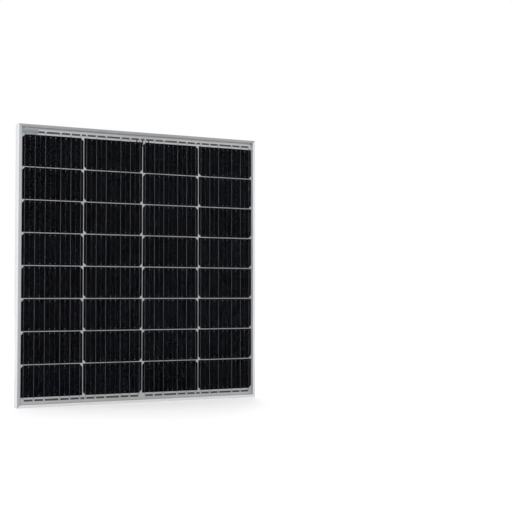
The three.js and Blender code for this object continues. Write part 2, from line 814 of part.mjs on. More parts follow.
function connectorNut() {
  const r = connectorNutRadius;
  const thread = connectorSpigotRadius + threadClearance;
  const threadStart = housingStart - threadClearance;
  return turned([
    [sealGap, boreRadius], [sealGap, nutMouthRadius], [nutTaperStart, nutShoulderRadius],
    [nutTaperEnd, r], [connectorNutLength - 2, r], [connectorNutLength, r - nutEndBevel],
    [connectorNutLength, thread], [threadStart, thread], [nutTaperStart, thread - nutChamfer],
    [nutTaperStart, boreRadius],
  ], 12);
}

function connectorShell(profile) {
  const bodyStart = connectorNutLength + threadClearance;
  return turned([
    [housingStart, boreRadius], [housingStart, connectorSpigotRadius],
    [bodyStart, connectorSpigotRadius], [bodyStart, connectorBodyRadius], ...profile,
  ], 12);
}

function connectorInsides(place, kind) {
  const seal = turned(tubeProfile(nutTaperStart + 2.2, housingStart - 0.5,
    leadRadius + leadClearance, connectorSpigotRadius - 1.4), 12);
  addNode(`${kind}_cable_seal`, seal, [0x2d2d30, 0.9, 0], place);
  addNode(`${kind}_connector_nut`, connectorNut(), blackPlastic, place);
}

function contactPin(end) {
  const collarRadius = boreRadius - contactClearance;
  return turned([
    [contactStart, 0], [contactStart, collarRadius],
    [contactCollarEnd, collarRadius], [contactCollarEnd, contactRadius],
    [end - 1, contactRadius], [end, contactTip], [end, 0],
  ], 10);
}

function buildFemaleConnector() {
  const { end, direction } = connectorPlace(leadPlusRoute);
  const place = placeAlong(end, direction);
  const mouth = femaleLength;
  const flange = mouth - socketFlangeLength;
  const flangeRadius = connectorBodyRadius + socketFlange;
  let shell = connectorShell([
    [flange - 1, connectorBodyRadius], [flange, flangeRadius], [mouth, flangeRadius],
    [mouth, socketRadius], [boreStep, socketRadius], [boreStep, boreRadius],
  ]);
  for (const side of [-1, 1]) {
    const ends = [side * (socketRadius - 1), side * (connectorBodyRadius + 2)];
    shell = shell.subtract(block(windowStart, windowEnd, -windowHalf, windowHalf,
      Math.min(...ends), Math.max(...ends)));
  }
  addNode('female_connector_housing', shell, blackPlastic, place);
  addNode('female_contact', contactPin(femaleContactEnd), copper, place);
  connectorInsides(place, 'female');
}

function buildMaleConnector() {
  const { end, direction } = connectorPlace(leadMinusRoute);
  const place = placeAlong(end, direction);
  const bodyEnd = connectorNutLength + maleBodyLength;
  const barrelBore = contactRadius + threadClearance;
  let shell = connectorShell([
    [bodyEnd, connectorBodyRadius], [bodyEnd, maleBarrelRadius],
    [maleLength, maleBarrelRadius], [maleLength, barrelBore],
    [boreStep, barrelBore], [boreStep, boreRadius],
  ]);
  const latchEnd = bodyEnd + latchReach;
  const latchBlock = (start, side, outer) => block(start, latchEnd,
    -latchWidth / 2, latchWidth / 2, Math.min(side * latchInner, side * outer),
    Math.max(side * latchInner, side * outer));
  const armOuter = latchInner + latchThickness;
  for (const side of [-1, 1]) {
    shell = shell.add(latchBlock(bodyEnd - latchRoot, side, armOuter))
      .add(latchBlock(latchEnd - latchHookLength, side, armOuter + latchHook));
  }
  addNode('male_connector_housing', shell, blackPlastic, place);
  const ring = turned(tubeProfile(bodyEnd + sealGap, bodyEnd + sealGap + sealRingLength,
    maleBarrelRadius + sealGap, maleBarrelRadius + sealRingWall), 12);
  addNode('male_seal_ring', ring, [0x8a3b3b, 0.7, 0], place);
  addNode('male_contact', contactPin(maleLength - contactSetback), copper, place);
  connectorInsides(place, 'male');
}

buildFrame();
buildSheets();
buildEdgeSeal();
for (let column = 0; column < columns; column += 1) {
  buildCellString(column);
}
buildBusRibbons();
buildLabels();
buildBoxBase();
buildBoxLid();
buildGlands();
buildTerminals();
buildLead('lead_plus', leadPlusRoute);
buildLead('lead_minus', leadMinusRoute);
buildLeadDressing();
buildFemaleConnector();
buildMaleConnector();

export default panel;
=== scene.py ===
import math

import bmesh
import bpy
from mathutils import Matrix, Vector


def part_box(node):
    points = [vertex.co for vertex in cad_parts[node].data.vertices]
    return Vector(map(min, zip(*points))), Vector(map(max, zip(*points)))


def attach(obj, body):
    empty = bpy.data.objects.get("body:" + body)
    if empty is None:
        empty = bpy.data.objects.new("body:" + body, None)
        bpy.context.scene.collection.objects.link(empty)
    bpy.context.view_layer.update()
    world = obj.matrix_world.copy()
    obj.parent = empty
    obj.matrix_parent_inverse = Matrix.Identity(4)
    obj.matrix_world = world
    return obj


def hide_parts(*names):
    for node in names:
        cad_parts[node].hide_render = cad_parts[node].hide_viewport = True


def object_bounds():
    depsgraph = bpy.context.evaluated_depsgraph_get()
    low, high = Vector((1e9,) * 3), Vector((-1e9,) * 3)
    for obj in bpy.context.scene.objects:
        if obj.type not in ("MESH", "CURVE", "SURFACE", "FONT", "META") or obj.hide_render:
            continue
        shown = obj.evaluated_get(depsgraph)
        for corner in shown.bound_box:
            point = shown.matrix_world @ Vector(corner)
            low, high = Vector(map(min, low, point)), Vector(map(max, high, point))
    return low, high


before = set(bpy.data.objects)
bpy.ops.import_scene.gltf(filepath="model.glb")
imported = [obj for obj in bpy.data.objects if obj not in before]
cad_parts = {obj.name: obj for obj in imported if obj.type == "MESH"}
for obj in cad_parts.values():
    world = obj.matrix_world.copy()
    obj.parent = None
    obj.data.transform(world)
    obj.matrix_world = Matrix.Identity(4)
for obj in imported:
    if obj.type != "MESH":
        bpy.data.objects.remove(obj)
cad_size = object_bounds()


# ---- camera --------------------------------------------------------------------------
# The camera stands low and well to the panel's left, about three metres off, and looks
# past its right edge, so that the panel fills the left half of the view.
camera_place = Vector((-1.188, -2.823, 0.285))
camera_aim = Vector((0.348, -0.015, 0.4006))
camera_lens = bpy.data.cameras.new("camera")
camera_lens.lens = 78.9
camera_lens.sensor_width = 36
camera = bpy.data.objects.new("camera", camera_lens)
camera.location = camera_place
camera.rotation_euler = (camera_aim - camera_place).to_track_quat("-Z", "Y").to_euler()
bpy.context.collection.objects.link(camera)
bpy.context.scene.camera = camera
bpy.context.scene.view_settings.view_transform = "Standard"


# ---- the two leads -------------------------------------------------------------------
# Black 5 mm solar cable with a smooth, faintly matt jacket, about 0.45 m from
# gland to connector. They lie along the backsheet side by side in one loose curve.
class Value:
    """A socket of one material, with the operators that its maths needs."""

    def __init__(self, finish, socket):
        self.finish = finish
        self.socket = socket

    def math(self, operation, *others):
        terms = dict(enumerate((self, *others)))
        return self.finish.node("ShaderNodeMath", {"operation": operation}, terms)

    def __add__(self, other):
        return self.math("ADD", other)

    def __sub__(self, other):
        return self.math("SUBTRACT", other)

    def __mul__(self, other):
        return self.math("MULTIPLY", other)

    def __truediv__(self, other):
        return self.math("DIVIDE", other)

    def __lt__(self, other):
        return self.math("LESS_THAN", other)

    def __gt__(self, other):
        return self.math("GREATER_THAN", other)

    def __abs__(self):
        return self.math("ABSOLUTE")

    def fraction(self):
        return self.math("FRACT")

    def whole(self):
        return self.math("FLOOR")

    def at_most(self, other):
        return self.math("MINIMUM", other)

    __radd__ = __add__


class Finish:
    """One procedural material, or the world, on the object's own coordinates in metres."""

    def __init__(self, name, owner=None):
        self.owner = owner or bpy.data.materials.new(name)
        self.owner.use_nodes = True
        self.tree = self.owner.node_tree
        self.tree.nodes.clear()
        self.place = self.node("ShaderNodeTexCoord", output="Object")

    def node(self, kind, settings=None, sockets=None, output=0):
        new = self.tree.nodes.new(kind)
        for key, value in (settings or {}).items():
            setattr(new, key, value)
        for key, value in (sockets or {}).items():
            if isinstance(value, Value):
                self.tree.links.new(value.socket, new.inputs[key])
            else:
                new.inputs[key].default_value = value
        return Value(self, new.outputs[output])

    def axis(self, name):
        return self.node("ShaderNodeSeparateXYZ", sockets={0: self.place}, output=name)

    def noise(self, scale, detail=2.0, stretch=(1, 1, 1)):
        stretched = self.node(
            "ShaderNodeVectorMath", {"operation": "MULTIPLY"}, {0: self.place, 1: stretch})
        sockets = {"Vector": stretched, "Scale": scale, "Detail": detail}
        return self.node("ShaderNodeTexNoise", sockets=sockets)

    def mix(self, factor, first, second):
        sockets = {"Factor": factor, 6: first, 7: second}
        return self.node("ShaderNodeMix", {"data_type": "RGBA"}, sockets, output=2)

    def bump(self, height, strength, distance):
        sockets = {"Height": height, "Strength": strength, "Distance": distance}
        return self.node("ShaderNodeBump", sockets=sockets)

    def surface(self, **sockets):
        names = {key.replace("_", " "): value for key, value in sockets.items()}
        return self.ended(self.node("ShaderNodeBsdfPrincipled", sockets=names))

    def ended(self, shader, kind="ShaderNodeOutputMaterial"):
        end = self.tree.nodes.new(kind)
        self.tree.links.new(shader.socket, end.inputs["Surface"])
        return self.owner


def rgb(red, green, blue):
    """A colour from its 0 to 255 display values."""
    def linear(value):
        share = value / 255
        return share / 12.92 if share <= 0.04045 else ((share + 0.055) / 1.055) ** 2.4
    return (linear(red), linear(green), linear(blue), 1.0)


def grained(name, dark, light, roughness, scale, bump=0.3, gloss=0.2, **constants):
    """A moulded finish: two close tones, a fine grain, and a little spread in its gloss."""
    finish = Finish(name)
    grain = finish.noise(scale, 3)
    patches = finish.noise(scale / 18, 2)
    tone = finish.mix(patches * 0.6 + grain * 0.4, dark, light)
    spread = 0.08
    return finish.surface(
        Base_Color=tone, Roughness=roughness - spread + patches * (2 * spread),
        Specular_IOR_Level=gloss, Normal=finish.bump(grain, bump, 0.2 * MM), **constants)


MM = 0.001
LEAD = 5 * MM
lead_exit_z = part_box("gland_nut_plus")[0][2]
sheet_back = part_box("backsheet")[1][1]
gland_height = 7.8
gland_offset = 11.5

# Millimetres: X, height off the backsheet, and Z from the mouth of the gland.
plus_route = [
    (11.5, gland_height, 24), (11.5, gland_height, 12), (11.5, gland_height, 4),
    (11.6, gland_height, 0), (12.4, 7.4, -9), (14.0, 6.0, -20), (16.8, 4.4, -33),
    (20.6, 3.3, -46), (27.8, 3.0, -66), (35.0, 3.0, -89), (39.3, 3.0, -111),
    (41.4, 3.0, -131), (41.2, 3.5, -146), (38.8, 4.2, -160.4), (33.2, 4.1, -173.8),
    (21.8, 4.1, -189.8), (2.9, 4.1, -206.1), (-18.8, 4.1, -217.0), (-38.0, 4.4, -221.7),
    (-57.0, 4.4, -223.0), (-74.9, 4.4, -220.3), (-91.1, 4.1, -213.8), (-105.5, 3.8, -206.6),
    (-122.0, 4.2, -199.2), (-138.0, 6.0, -192.6), (-150.0, 8.2, -187.9),
    (-160.0, 9.2, -184.4), (-173.3, 9.4, -179.9),
]
minus_route = [
    (-11.5, gland_height, 24), (-11.5, gland_height, 12), (-11.5, gland_height, 4),
    (-11.6, gland_height, 0), (-12.8, 7.4, -9), (-16.2, 6.0, -20), (-25.6, 4.2, -37),
    (-40.6, 3.0, -55.6), (-59.5, 3.0, -75.4), (-78.1, 3.0, -97.9), (-93.9, 3.0, -121.7),
    (-103.2, 3.0, -142.9), (-106.6, 3.0, -164.1), (-104.2, 3.0, -183.5),
    (-97.4, 3.6, -199.0), (-88.9, 4.1, -208.4), (-73.3, 4.4, -214.7), (-56.8, 4.4, -217.2),
    (-38.8, 4.4, -215.9), (-20.8, 4.3, -211.6), (-0.3, 5.0, -201.5), (17.6, 7.3, -186.2),
    (29.0, 9.4, -171.6), (37.3, 10.0, -160.8), (45.5, 9.8, -150.2),
]
inside_connector = 11 * MM


def route_points(route):
    """The route in metres, its entry into the connector, and the connector's direction."""
    points = [
        Vector((x * MM, sheet_back + height * MM, lead_exit_z + drop * MM))
        for x, height, drop in route]
    direction = points[-1] - points[-2]
    direction.y = 0
    direction.normalize()
    return points, points[-1], direction


def smooth_line(points, steps=6):
    """Points of a centripetal Catmull-Rom curve through the given ones."""
    ends = [points[0] * 2 - points[1], *points, points[-1] * 2 - points[-2]]
    line = []
    for a, b, c, d in zip(ends, ends[1:], ends[2:], ends[3:]):
        t1 = (b - a).length ** 0.5
        t2 = t1 + (c - b).length ** 0.5
        t3 = t2 + (d - c).length ** 0.5
        for step in range(steps):
            t = t1 + (t2 - t1) * step / steps
            ab = a.lerp(b, t / t1)
            bc = b.lerp(c, (t - t1) / (t2 - t1))
            cd = c.lerp(d, (t - t2) / (t3 - t2))
            abc = ab.lerp(bc, t / t2)
            bcd = bc.lerp(cd, (t - t1) / (t3 - t1))
            line.append(abc.lerp(bcd, (t - t1) / (t2 - t1)))
    line.append(points[-1])
    return line


def show(piece, material, body="root"):
    """Puts a piece in the scene with its finish, riding on one of the moving bodies."""
    bpy.context.collection.objects.link(piece)
    piece.data.materials.append(material)
    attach(piece, body)
    return piece


def draw_lead(name, points):
    """A round lead along a smooth line through the points, and the length of that line."""
    line = smooth_line(points)
    curve = bpy.data.curves.new(name, "CURVE")
    curve.dimensions = "3D"
    curve.bevel_depth = LEAD / 2
    curve.bevel_resolution = 5
    curve.use_fill_caps = True
    spline = curve.splines.new("POLY")
    spline.points.add(len(line) - 1)
    for point, place in zip(spline.points, line):
        point.co = (*place, 1)
    length = sum((b - a).length for a, b in zip(line, line[1:]))
    return bpy.data.objects.new(name, curve), length


cable = grained(
    "cable_jacket", rgb(24, 24, 26), rgb(40, 40, 43), 0.42, 900, Coat_Weight=0.1)
leads = {}
for sign, route in (("plus", plus_route), ("minus", minus_route)):
    points, entry, direction = route_points(route)
    lead, length = draw_lead(f"cable_{sign}", points + [entry + direction * inside_connector])
    show(lead, cable)
    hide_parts(f"lead_{sign}")
    leads[sign] = {"piece": lead, "length": length, "entry": entry, "direction": direction}


# ---- floor, world and lamps ----------------------------------------------------------
# A plain pale floor under a white surround, with four large soft lamps: one in front of the
# panel, one behind it and one on each side.
def seen_directly(finish):
    """1 for a ray from the eye, straight or by way of a mirror or a clear sheet."""
    straight, mirrored, refracted = (
        finish.node("ShaderNodeLightPath", output=f"Is {kind} Ray")
        for kind in ("Camera", "Glossy", "Transmission"))
    return (straight + mirrored + refracted).at_most(1.0)


surround = bpy.data.worlds.new("surround")
bpy.context.scene.world = surround
world_finish = Finish("surround", surround)
ambient = 0.5
world_strength = seen_directly(world_finish) * (1 - ambient) + ambient
world_finish.ended(
    world_finish.node(
        "ShaderNodeBackground", sockets={"Color": (1, 1, 1, 1), "Strength": world_strength}),
    "ShaderNodeOutputWorld")

floor_finish = Finish("floor")
away = floor_finish.node(
    "ShaderNodeVectorMath", {"operation": "LENGTH"}, {0: floor_finish.place}, output="Value")
lift_below_panel, lift_per_metre, most_lift = 0.28, 0.16, 0.75
lifted = (away * lift_per_metre + lift_below_panel).at_most(most_lift)
lift = floor_finish.mix(seen_directly(floor_finish) * lifted, (0, 0, 0, 1), (1, 1, 1, 1))
floor_tone = floor_finish.mix(
    floor_finish.noise(3, 2), (0.78, 0.78, 0.78, 1), (0.82, 0.82, 0.82, 1))
floor_finish.surface(
    Base_Color=floor_tone, Roughness=0.9, Specular_IOR_Level=0.1,
    Emission_Color=lift, Emission_Strength=1.0)
floor_reach = 14
floor_shape = bmesh.new()
bmesh.ops.create_grid(floor_shape, x_segments=1, y_segments=1, size=floor_reach)
floor_mesh = bpy.data.meshes.new("floor")
floor_shape.to_mesh(floor_mesh)
floor_shape.free()
floor_mesh.materials.append(floor_finish.owner)
floor = bpy.data.objects.new("floor", floor_mesh)
bpy.context.collection.objects.link(floor)


panel_middle = Vector((0, 0, 0.365))
for name, place, size, power in (
        ("lamp_front", (-1.6, -3.2, 2.2), 2.2, 68),
        ("lamp_right", (3.2, -1.4, 1.6), 1.8, 26),
        ("lamp_back", (1.4, 3.2, 2.4), 2.2, 72),
        ("lamp_left", (-3.2, 1.0, 1.4), 1.8, 24)):
    light = bpy.data.lights.new(name, "AREA")
    light.shape = "SQUARE"
    light.size = size
    light.energy = power
    lamp = bpy.data.objects.new(name, light)
    lamp.location = place
    lamp.rotation_euler = (panel_middle - Vector(place)).to_track_quat("-Z", "Y").to_euler()
    bpy.context.collection.objects.link(lamp)


# ---- frame ---------------------------------------------------------------------------
# Four extruded aluminium bars, mitred at the corners and pushed onto cast keys inside
# their chambers. Clear anodised, with fine streaks along the draw and eased edges.
def anodised(name, stretch, lip_painted_light, wall_painted_light):
    """Streaked along the bar; the lip and walls take tones of painted light and shade."""
    finish = Finish(name)
    streaks = finish.noise(1.0, 3, stretch)
    wear = finish.noise(14, 4)
    shade = streaks * 0.7 + wear * 0.3
    lip_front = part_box("frame_top")[0][1]
    lip_thickness = 1.4 * MM
    on_lip = finish.axis("Y") < lip_front + lip_thickness
    tone = finish.mix(on_lip, finish.mix(shade, *wall_painted_light), finish.mix(shade, *lip_painted_light))
    return finish.surface(
        Base_Color=tone, Metallic=0.25, Roughness=0.36 + streaks * 0.16,
        Normal=finish.bump(streaks, 0.25, 0.1 * MM))


def softened(node, radius, angle=28):
    """The node's own shape with its doubles merged and its sharp edges rounded."""
    shape = bmesh.new()
    shape.from_mesh(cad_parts[node].data)
    bmesh.ops.remove_doubles(shape, verts=shape.verts, dist=0.001 * MM)
    bmesh.ops.dissolve_limit(
        shape, angle_limit=math.radians(0.5), verts=shape.verts, edges=shape.edges)
    sharp = [
        edge for edge in shape.edges
        if len(edge.link_faces) == 2 and edge.calc_face_angle(0) > math.radians(angle)]
    bmesh.ops.bevel(
        shape, geom=sharp, offset=radius, segments=2, profile=0.5, affect="EDGES",
        material=-1, clamp_overlap=True)
    return shape


def made(shape, name, material, body="root", smooth_angle=40):
    """A finished piece from a bmesh, with smooth shading between its sharp edges."""
    bmesh.ops.remove_doubles(shape, verts=shape.verts, dist=0.0001 * MM)
    bmesh.ops.recalc_face_normals(shape, faces=shape.faces)
    mesh = bpy.data.meshes.new(name)
    shape.to_mesh(mesh)
    shape.free()
    mesh.shade_smooth()
    mesh.set_sharp_from_angle(angle=math.radians(smooth_angle))
    piece = show(bpy.data.objects.new(name, mesh), material, body)
    return piece


along_x = (3, 900, 900)
along_z = (900, 900, 3)
# Wall and lip tones are painted light and shade on one anodised metal, per side and face.
painted_upright_light = (rgb(216, 218, 220), rgb(236, 238, 239))
painted_wall_light = {
    "top": (rgb(200, 202, 204), rgb(220, 222, 224)),
    "bottom": (rgb(190, 192, 194), rgb(210, 212, 214)),
    "left": painted_upright_light,
    "right": painted_upright_light,
}
painted_lip_light = {
    "top": (rgb(136, 138, 142), rgb(156, 158, 162)),
    "bottom": (rgb(204, 205, 206), rgb(222, 223, 224)),
    "left": (rgb(160, 162, 165), rgb(180, 182, 185)),
    "right": (rgb(204, 206, 208), rgb(224, 226, 228)),
}
bar_edge = 0.35 * MM
for side, stretch in (
        ("top", along_x), ("bottom", along_x), ("left", along_z), ("right", along_z)):
    metal = anodised(f"frame_metal_{side}", stretch, painted_lip_light[side], painted_wall_light[side])
    bar = made(softened(f"frame_{side}", bar_edge), f"bar_{side}", metal)
    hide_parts(f"frame_{side}")


def paint(node, material):
    """Gives a node of the solid model a finish, and leaves its shape alone."""
    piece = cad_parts[node]
    if not piece.material_slots:
        piece.data.materials.append(None)
    for slot in piece.material_slots:
        slot.link = "OBJECT"
        slot.material = material


key_metal = grained(
    "key_metal", rgb(140, 142, 145), rgb(170, 172, 175), 0.5, 500, Metallic=0.8)
for corner in ("top_left", "top_right", "bottom_left", "bottom_right"):
    paint(f"corner_key_{corner}", key_metal)


# ---- glass and sheets ----------------------------------------------------------------
# A pane of low-iron tempered glass, a clear sheet and a white sheet with the cells between
# them, and a white backsheet, pressed into one laminate in a hot press.
def clear_sheet(name, alpha, roughness, tint):
    finish = Finish(name)
    ripple = finish.noise(160, 2)
    return finish.surface(
        Base_Color=finish.mix(ripple, tint, rgb(3, 4, 4)),
        Roughness=roughness + ripple * 0.03, Alpha=alpha, Specular_IOR_Level=0.0,
        Normal=finish.bump(ripple, 0.05, 0.1 * MM))


paint("glass_pane", clear_sheet("front_glass", 0.02, 0.04, rgb(4, 7, 6)))
paint("front_encapsulant", clear_sheet("encapsulant_clear", 0.01, 0.2, rgb(4, 5, 5)))

white_layer = Finish("encapsulant_white")
cloud = white_layer.noise(9, 3)
rim = abs(white_layer.axis("X")) / cad_size[1][0]
paint("rear_encapsulant", white_layer.surface(
    Base_Color=white_layer.mix(
        cloud * 0.5 + rim * 0.5, rgb(184, 185, 186), rgb(202, 203, 204)),
    Roughness=0.5 + cloud * 0.1, Coat_Weight=0.2, Coat_Roughness=0.06))


# The backsheet is a matt white film. The edges of the cells and ribbons in front of it show
# as faint ridges that the press leaves.
string_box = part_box("cell_string_1")
cell_width = string_box[1][0] - string_box[0][0]
cell_pitch_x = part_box("cell_string_2")[0][0] - string_box[0][0]
grid_left = string_box[0][0]
ribbon_tail = 10 * MM
grid_top = string_box[1][2] - ribbon_tail
cell_height = 83 * MM
cell_pitch_z = 85 * MM
rows = 8
busbars = 12


def grid_column(finish):
    return (finish.axis("X") - grid_left) / cell_pitch_x


def grid_row(finish):
    return (finish.axis("Z") - (grid_top - rows * cell_pitch_z)) / cell_pitch_z


film = Finish("white_backsheet")
across = grid_column(film).fraction()
up = grid_row(film).fraction()
column_ridge = abs(across - 0.5) > 0.492
row_ridge = abs(up - 0.5) > 0.487
ridge = column_ridge.math("MAXIMUM", row_ridge)
ribbon_mark = abs((across * busbars).fraction() - 0.5) < 0.04
weave = film.noise(700, 2)
paint("backsheet", film.surface(
    Base_Color=film.mix(film.noise(7, 3), rgb(233, 235, 236), rgb(244, 245, 245)),
    Roughness=0.5 + weave * 0.15,
    Normal=film.bump(ridge * 0.6 + ribbon_mark * 0.3 + weave * 0.12, 0.35, 0.3 * MM)))

paint("edge_seal", grained("seal_foam", rgb(38, 39, 42), rgb(58, 59, 62), 0.85, 600))


# ---- cells ---------------------------------------------------------------------------
# Thirty-two half-cut wafers of black silicon, in four columns of eight, each with two
# corners cut. Their coating varies a little from cell to cell, under fine printed fingers.
cell_front = string_box[0][1] + 0.075 * MM
cell_thickness = 0.25 * MM
corner_cut = 8 * MM


def plate(shape, corners, front, thickness):
    """A closed plate from the corners of its outline in X and Z, from front backwards."""
    face = shape.faces.new([shape.verts.new((x, front, z)) for x, z in corners])
    grown = bmesh.ops.extrude_face_region(shape, geom=[face])
    moved = [item for item in grown["geom"] if isinstance(item, bmesh.types.BMVert)]
    bmesh.ops.translate(shape, verts=moved, vec=(0, thickness, 0))


def silicon():
    finish = Finish("cell_silicon")
    column = grid_column(finish) + MM / cell_pitch_x
    row = grid_row(finish)
    batch = finish.node(
        "ShaderNodeTexWhiteNoise", {"noise_dimensions": "2D"},
        {"Vector": finish.node(
            "ShaderNodeCombineXYZ", sockets={0: column.whole(), 1: row.whole()})})
    strip = finish.node(
        "ShaderNodeTexWhiteNoise", {"noise_dimensions": "1D"},
        {"W": (column * busbars).whole() + row.whole() * 57})
    finger_pitch = 1.5 * MM
    finger = abs((finish.axis("Z") / finger_pitch).fraction() - 0.5) < 0.045
    coating = finish.mix(batch, rgb(1, 1, 2), rgb(4, 5, 11))
    streak = finish.mix(strip * 0.45, coating, rgb(3, 8, 12))
    cloud = finish.noise(22, 3)
    tone = finish.mix(cloud * 0.3, streak, rgb(6, 7, 12))
    return finish.surface(
        Base_Color=finish.mix(finger * 0.03, tone, rgb(90, 92, 96)),
        Roughness=0.3 + cloud * 0.12, Specular_IOR_Level=0.04)


cell_finish = silicon()
string_boxes = [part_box(f"cell_string_{number}") for number in (1, 2, 3, 4)]
for number, (low, high) in enumerate(string_boxes):
    shape = bmesh.new()
    left, right = low[0], high[0]
    for row in range(rows):
        top = grid_top - row * cell_pitch_z
        bottom = top - cell_height
        # The cut corners are at a cell's top in the first and third columns, else at its foot.
        cut, whole, step = (
            (top, bottom, -corner_cut) if number % 2 == 0 else (bottom, top, corner_cut))
        plate(shape, [
            (left, whole), (right, whole), (right, cut + step), (right - corner_cut, cut),
            (left + corner_cut, cut), (left, cut + step)], cell_front, cell_thickness)
    cells = made(shape, f"cells_{number + 1}", cell_finish)
    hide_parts(f"cell_string_{number + 1}")


# The wired busbars are flat tinned copper ribbons that run the whole column. Between them
# are fine printed lines, each with small solder dots next to the ends of every cell.
wired = (0, 2, 4, 7, 9, 11)
printed = [index for index in range(busbars) if index not in wired]
ribbon_half = 0.5 * MM
ribbon_finish = Finish("tinned_ribbon")
dull = ribbon_finish.noise(260, 3, (1, 1, 0.1))
ribbon_finish.surface(
    Base_Color=ribbon_finish.mix(dull, rgb(56, 57, 61), rgb(78, 79, 84)),
    Metallic=0.3, Roughness=0.35 + dull * 0.2, Coat_Weight=0.05)
print_finish = Finish("printed_silver")
paste = print_finish.noise(800, 2)
near_end = abs(grid_row(print_finish).fraction() - 0.5) > 0.405
print_finish.surface(
    Base_Color=print_finish.mix(
        near_end, print_finish.mix(paste, rgb(30, 31, 35), rgb(48, 49, 53)),
        print_finish.mix(paste, rgb(96, 98, 102), rgb(124, 126, 130))),
    Metallic=0.2, Roughness=0.5 + paste * 0.2)
line_half = 0.14 * MM
line_rise = 0.02 * MM
line_inset = MM
dot_half = MM
dot_inset = 4 * MM


def upright_strip(shape, x, half_width, foot, top, front, thickness):
    plate(shape, [
        (x - half_width, foot), (x + half_width, foot), (x + half_width, top),
        (x - half_width, top)], front, thickness)


for number, (low, high) in enumerate(string_boxes):
    ribbons = bmesh.new()
    for index in wired:
        x = low[0] + cell_width * (index + 0.5) / busbars
        upright_strip(
            ribbons, x, ribbon_half, low[2], high[2], low[1], cell_front - low[1])
    made(ribbons, f"ribbons_{number + 1}", ribbon_finish.owner)
    lines = bmesh.new()
    for index in printed:
        x = low[0] + cell_width * (index + 0.5) / busbars
        for row in range(rows):
            top = grid_top - row * cell_pitch_z - line_inset
            bottom = top - cell_height + 2 * line_inset
            upright_strip(
                lines, x, line_half, bottom, top, cell_front - line_rise, line_rise / 2)
            for z in (top - dot_inset, bottom + dot_inset):
                plate(lines, [
                    (x - dot_half, z - line_half), (x - line_half, z - dot_half),
                    (x + line_half, z - dot_half), (x + dot_half, z - line_half),
                    (x + dot_half, z + line_half), (x + line_half, z + dot_half),
                    (x - line_half, z + dot_half), (x - dot_half, z + line_half)],
                    cell_front - 2 * line_rise, line_rise)
    made(lines, f"busbars_{number + 1}", print_finish.owner)


# Wider ribbons join the columns at their ends, brighter where the thin ones cross them,
# and a strip of paper covers the end of the top left one.
bus_finish = Finish("bus_ribbon")
in_column = grid_column(bus_finish).fraction()
busbar = in_column * (busbars * cell_pitch_x / cell_width)
# Even busbars are wired in the left half of a cell and odd ones in the right half.
wired_here = ((busbar.whole() + (in_column > 0.5)) * 0.5).fraction() < 0.25
crossing = (abs(busbar.fraction() - 0.5) < 0.14) * wired_here
solder = bus_finish.noise(300, 3)
bus_finish.surface(
    Base_Color=bus_finish.mix(
        crossing, bus_finish.mix(solder, rgb(58, 58, 60), rgb(80, 80, 82)),
        rgb(226, 227, 228)),
    Metallic=0.35, Roughness=0.4 + solder * 0.2, Normal=bus_finish.bump(solder, 0.3, 0.2 * MM))
for name in ("top_bus_left", "top_bus_middle", "top_bus_right", "bottom_bus_left",
             "bottom_bus_right"):
    paint(name, bus_finish.owner)

strip_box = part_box("serial_strip")
strip_finish = Finish("paper_strip")
bars = strip_finish.noise(900, 0, (1, 0, 0)) > 0.52
strip_middle = [(a + b) / 2 for a, b in zip(*strip_box)]
band = abs(strip_finish.axis("Z") - strip_middle[2]) < 2.4 * MM
inside = abs(strip_finish.axis("X") - strip_middle[0]) < 17 * MM
fibre = strip_finish.noise(400, 3)
paint("serial_strip", strip_finish.surface(
    Base_Color=strip_finish.mix(
        bars * band * inside * 0.35,
        strip_finish.mix(fibre, rgb(128, 136, 145), rgb(146, 153, 161)), rgb(70, 74, 80)),
    Roughness=0.6 + fibre * 0.1))


# ---- junction box --------------------------------------------------------------------
# A black moulded box, glued to the backsheet under the top bar. Its lid clips over two lugs
# on each side, onto a foam gasket, and carries shallow raised bars.
box_plastic = grained("black_plastic", rgb(18, 19, 21), rgb(31, 32, 35), 0.5, 1500, 0.35)
base = made(
    softened("junction_box_base", 0.4 * MM), "box_base", box_plastic)
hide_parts("junction_box_base")
made_lid = made(
    softened("junction_box_lid", 0.6 * MM), "box_lid_cover", box_plastic,
    "box_lid")
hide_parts("junction_box_lid")


def bar_block(shape, low, high, radius):
    """A block with rounded edges between two corners."""
    size = [b - a for a, b in zip(low, high)]
    centre = [(a + b) / 2 for a, b in zip(low, high)]
    grown = bmesh.ops.create_cube(
        shape, size=1, matrix=Matrix.Translation(centre) @ Matrix.Diagonal((*size, 1)))
    edges = {edge for vert in grown["verts"] for edge in vert.link_edges}
    bmesh.ops.bevel(
        shape, geom=list(edges), offset=radius, segments=2, profile=0.5, affect="EDGES",
        material=-1, clamp_overlap=True)


lid_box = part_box("junction_box_lid")
lid_middle_z = (lid_box[0][2] + lid_box[1][2]) / 2
rib_foot = lid_box[1][1] - 0.6 * MM
rib_top = lid_box[1][1] + 0.5 * MM
rib_half = 0.9
rib_edge = 0.4 * MM
ribs = bmesh.new()
for half_width, z in ((20, 24), (15, 17), (15, 10), (20, -22)):
    bar_block(
        ribs, (-half_width * MM, rib_foot, lid_middle_z + (z - rib_half) * MM),
        (half_width * MM, rib_top, lid_middle_z + (z + rib_half) * MM), rib_edge)
for side in (-1, 1):
    left, right = sorted((side * 22.6 * MM, side * 24.2 * MM))
    bar_block(
        ribs, (left, rib_foot, lid_middle_z - 16 * MM),
        (right, rib_top, lid_middle_z + 20 * MM), rib_edge)
made(ribs, "box_lid_bars", box_plastic, "box_lid")

gasket_foam = grained("gasket_foam", rgb(44, 46, 50), rgb(62, 64, 68), 0.9, 900)
paint("junction_box_gasket", gasket_foam)
silicone = grained("white_silicone", rgb(205, 207, 208), rgb(228, 229, 230), 0.6, 120)
paint("box_adhesive", silicone)

